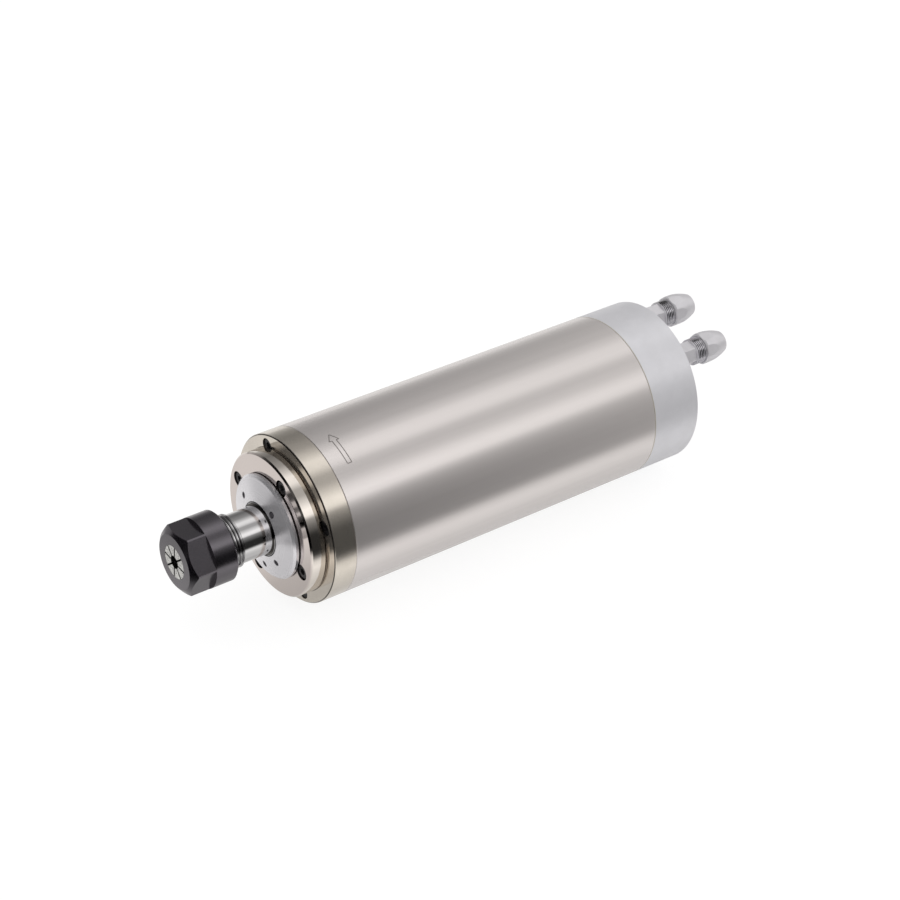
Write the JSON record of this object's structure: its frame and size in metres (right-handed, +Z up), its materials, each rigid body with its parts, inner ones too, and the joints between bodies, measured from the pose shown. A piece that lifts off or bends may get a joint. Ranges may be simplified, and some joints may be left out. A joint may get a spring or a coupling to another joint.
{
  "type": "motor spindle",
  "caption": "Round water-cooled motor spindle with a collet and clamping nut on its polished nose, a steel sleeve to be clamped, and hose fittings and a plug socket on its rear cap.",
  "frame": {"origin": "on the spindle's axis, half way along the steel sleeve that the machine's clamp holds", "axes": "+X along the axis from the nose to the rear cap, +Z up as in the picture, +Y completes a right-handed frame"},
  "size_m": [0.2979, 0.08, 0.08],
  "materials": {
    "flange_nickel": "satin nickel",
    "cover_nickel": "polished nickel",
    "sleeve_steel": "ground, brushed along",
    "cap_aluminium": "matt, fine blasted",
    "jacket_aluminium": "machined",
    "seal_rubber": "matt",
    "gasket_fibre": "matt",
    "core_iron": "laminated",
    "winding_copper": "enamelled copper",
    "bearing_steel": "ground",
    "spacer_steel": "ground",
    "spring_steel": "satin",
    "ball_steel": "polished",
    "cage_plastic": "satin",
    "screw_black": "black oxide",
    "washer_copper": "satin",
    "fitting_chrome": "satin chrome",
    "ferrule_brass": "machined",
    "connector_metal": "satin nickel",
    "connector_plastic": "moulded",
    "pin_gold": "gold plated",
    "wire_insulation": "smooth",
    "shaft_steel": "polished",
    "disc_steel": "turned, bright",
    "collet_steel": "satin, ground",
    "nut_oxide": "black oxide"
  },
  "bodies": {
    "housing": {"front_flange": "flange_nickel", "flange_screws": "screw_black", "front_cover": "cover_nickel", "cover_screws": "screw_black", "body_sleeve": "sleeve_steel", "cooling_jacket": "jacket_aluminium", "jacket_o_rings": "seal_rubber", "stator_core": "core_iron", "stator_windings": "winding_copper", "front_outer_rings": "bearing_steel", "front_outer_spacer": "spacer_steel", "rear_housing": "jacket_aluminium", "rear_outer_rings": "bearing_steel", "preload_springs": "spring_steel", "cap_gasket": "gasket_fibre", "rear_cap": "cap_aluminium", "cap_screws": "screw_black", "fitting_washers": "washer_copper", "inlet_fitting": "fitting_chrome", "outlet_fitting": "fitting_chrome", "connector_shell": "connector_metal", "connector_insert": "connector_plastic", "connector_pins": "pin_gold", "connector_nut": "connector_metal", "lead_wires": "wire_insulation"},
    "rotor": {"spindle_shaft": "shaft_steel", "dust_disc": "disc_steel", "front_inner_rings": "bearing_steel", "front_inner_spacer": "spacer_steel", "rotor_core": "core_iron", "rotor_cage": "jacket_aluminium", "rear_inner_rings": "bearing_steel", "rear_lock_nut": "screw_black"},
    "front_ball_sets": {"front_balls_set": "ball_steel", "front_cages": "cage_plastic"},
    "rear_ball_sets": {"rear_balls_set": "ball_steel", "rear_cages": "cage_plastic"},
    "collet": {"collet": "collet_steel"},
    "collet_nut": {"collet_nut": "nut_oxide"},
    "inlet_ferrule": {"inlet_ferrule": "ferrule_brass"},
    "inlet_nut": {"inlet_nut": "fitting_chrome"},
    "outlet_ferrule": {"outlet_ferrule": "ferrule_brass"},
    "outlet_nut": {"outlet_nut": "fitting_chrome"}
  },
  "joints": [
    {"name": "spindle_spin", "type": "hinge", "parent": "housing", "child": "rotor", "pos_m": [0, 0, 0], "axis": [1, 0, 0], "continuous": true},
    {"name": "front_ball_spin", "type": "hinge", "parent": "housing", "child": "front_ball_sets", "pos_m": [0, 0, 0], "axis": [1, 0, 0], "continuous": true},
    {"name": "rear_ball_spin", "type": "hinge", "parent": "housing", "child": "rear_ball_sets", "pos_m": [0, 0, 0], "axis": [1, 0, 0], "continuous": true},
    {"name": "collet_travel", "type": "slide", "parent": "rotor", "child": "collet", "axis": [-1, 0, 0], "range_m": [0, 0.00675]},
    {"name": "nut_turn", "type": "hinge", "parent": "collet", "child": "collet_nut", "pos_m": [-0.1538, 0, 0], "axis": [-1, 0, 0], "range_deg": [0, 1621]},
    {"name": "inlet_ferrule_travel", "type": "slide", "parent": "housing", "child": "inlet_ferrule", "axis": [1, 0, 0], "range_m": [0, 0.0045]},
    {"name": "inlet_nut_turn", "type": "hinge", "parent": "inlet_ferrule", "child": "inlet_nut", "pos_m": [0.1125, 0.00583, 0.02943], "axis": [1, 0, 0], "range_deg": [0, 1621]},
    {"name": "outlet_ferrule_travel", "type": "slide", "parent": "housing", "child": "outlet_ferrule", "axis": [1, 0, 0], "range_m": [0, 0.0045]},
    {"name": "outlet_nut_turn", "type": "hinge", "parent": "outlet_ferrule", "child": "outlet_nut", "pos_m": [0.1125, -0.01807, 0.01938], "axis": [1, 0, 0], "range_deg": [0, 1621]}
  ],
  "couplings": [
    {"joint": "front_ball_spin", "follows": "spindle_spin", "ratio": 0.4118},
    {"joint": "rear_ball_spin", "follows": "spindle_spin", "ratio": 0.3987},
    {"joint": "nut_turn", "follows": "collet_travel", "rad_per_m": 4188.8},
    {"joint": "inlet_nut_turn", "follows": "inlet_ferrule_travel", "rad_per_m": 6283.2},
    {"joint": "outlet_nut_turn", "follows": "outlet_ferrule_travel", "rad_per_m": 6283.2}
  ]
}
